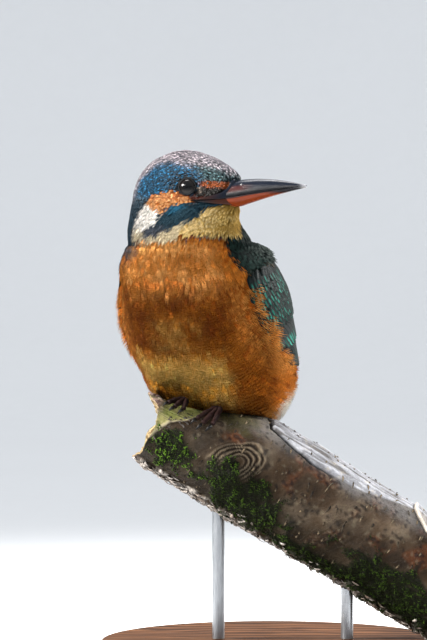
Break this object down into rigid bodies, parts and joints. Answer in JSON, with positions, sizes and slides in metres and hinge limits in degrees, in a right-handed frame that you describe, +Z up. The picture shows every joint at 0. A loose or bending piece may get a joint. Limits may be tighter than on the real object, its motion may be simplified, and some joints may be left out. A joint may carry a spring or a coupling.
{
  "type": "kingfisher model",
  "caption": "Life-size common kingfisher sitting on a cut length of mossy branch, head turned to its left, on a plain round display stand.",
  "frame": {"origin": "middle of the underside of the stand's round base", "axes": "+Z up; the main view looks along +Y, with +X to its right; the bird's breast faces -Y, its bill points to +X"},
  "size_m": [0.1545, 0.14, 0.202],
  "materials": {
    "plumage_orange": "soft matte feathers",
    "plumage_blue": "soft feathers with a blue-green gloss",
    "bill_black": "smooth horn with a soft gloss",
    "bill_red": "smooth horn, orange-red at the base",
    "eye": "wet gloss",
    "foot_skin": "fine scaly skin",
    "bark": "weathered bark with moss",
    "stand_wood": "oiled, plain",
    "stand_steel": "satin"
  },
  "bodies": {
    "root": {"bill_lower": "bill_red", "bill_upper": "bill_black", "claw_left_1": "bill_black", "claw_left_2": "bill_black", "claw_left_3": "bill_black", "claw_left_4": "bill_black", "claw_right_1": "bill_black", "claw_right_2": "bill_black", "claw_right_3": "bill_black", "claw_right_4": "bill_black", "eye_left": "eye", "eye_right": "eye", "foot_left": "foot_skin", "foot_right": "foot_skin", "head": "plumage_blue", "leg_left": "foot_skin", "leg_right": "foot_skin", "neck": "plumage_orange", "perch_branch": "bark", "stand_base": "stand_wood", "stand_rod_left": "stand_steel", "stand_rod_right": "stand_steel", "tail": "plumage_blue", "trunk": "plumage_orange", "wing_left": "plumage_blue", "wing_right": "plumage_blue"}
  },
  "joints": []
}
